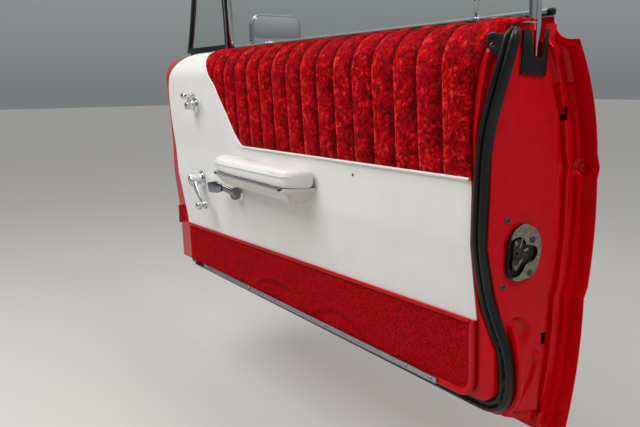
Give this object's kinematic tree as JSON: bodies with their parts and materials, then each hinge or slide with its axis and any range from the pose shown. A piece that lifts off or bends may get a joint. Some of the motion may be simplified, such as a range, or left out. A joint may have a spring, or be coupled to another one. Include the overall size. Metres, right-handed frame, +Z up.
{
  "type": "hardtop coupe front door",
  "caption": "Right-hand front door of a full-size hardtop coupe, standing open on two pillar hinges, with raised glass, vent window, velvet and vinyl trim, carpeted kick panel and latch.",
  "frame": {"origin": "centre of the lower hinge's bolt circle, on the face of the hinge leaf that meets the door pillar", "axes": "+X along the door from the hinges to the latch, +Y from the cabin side outwards, +Z up; the door is axis-aligned where it stands open and the pillar leaves are turned from it by the open angle"},
  "size_m": [1.4173, 0.3645, 1.05],
  "materials": {
    "hinge_steel": "gloss red enamel over pressed steel",
    "pin_steel": "plain steel, turned",
    "body_paint": "gloss red body enamel",
    "latch_zinc": "zinc-plated steel, dulled",
    "seal_rubber": "moulded black rubber",
    "window_glass": "clear side glass",
    "bright_chrome": "polished chrome plate",
    "white_vinyl": "fine-grained white vinyl",
    "white_plastic": "moulded white plastic",
    "red_velvet": "crushed velvet, tuck and roll",
    "red_carpet": "looped pile carpet",
    "red_vinyl": "smooth red vinyl binding",
    "ribbed_aluminium": "extruded, ribbed, satin",
    "mirror_silver": "silvered glass"
  },
  "bodies": {
    "pillar": {"hinge_lower_pillar_leaf": "hinge_steel", "hinge_upper_pillar_leaf": "hinge_steel", "hinge_lower_pin": "pin_steel", "hinge_upper_pin": "pin_steel"},
    "door": {"hinge_lower_door_leaf": "hinge_steel", "hinge_upper_door_leaf": "hinge_steel", "outer_skin": "body_paint", "inner_shell": "body_paint", "latch_plate": "latch_zinc", "latch_rotor": "pin_steel", "weatherstrip": "seal_rubber", "glass_filler": "seal_rubber", "door_glass": "window_glass", "glass_channel": "bright_chrome", "division_post": "bright_chrome", "vent_frame": "bright_chrome", "vent_glass": "window_glass", "outer_belt_moulding": "bright_chrome", "inner_belt_wiper": "seal_rubber", "trim_panel": "white_vinyl", "velvet_pad": "red_velvet", "trim_piping": "white_vinyl", "carpet_panel": "red_carpet", "carpet_binding": "red_vinyl", "sill_moulding": "ribbed_aluminium", "armrest_pad": "white_vinyl", "armrest_strip": "bright_chrome", "armrest_base": "white_plastic", "window_crank_escutcheon": "bright_chrome", "window_crank": "bright_chrome", "vent_crank_escutcheon": "bright_chrome", "vent_crank": "bright_chrome", "inside_handle_escutcheon": "bright_chrome", "inside_handle": "bright_chrome", "lock_knob": "bright_chrome", "outside_handle": "bright_chrome", "lock_cylinder": "bright_chrome", "mirror_foot": "bright_chrome", "mirror_head": "bright_chrome", "mirror_glass": "mirror_silver"}
  },
  "joints": [
    {"name": "door_swing", "type": "hinge", "parent": "pillar", "child": "door", "pos_m": [0.06835, 0.00514, 0.16], "axis": [0, 0, 1], "range_deg": [-62.5, 4.5]}
  ]
}
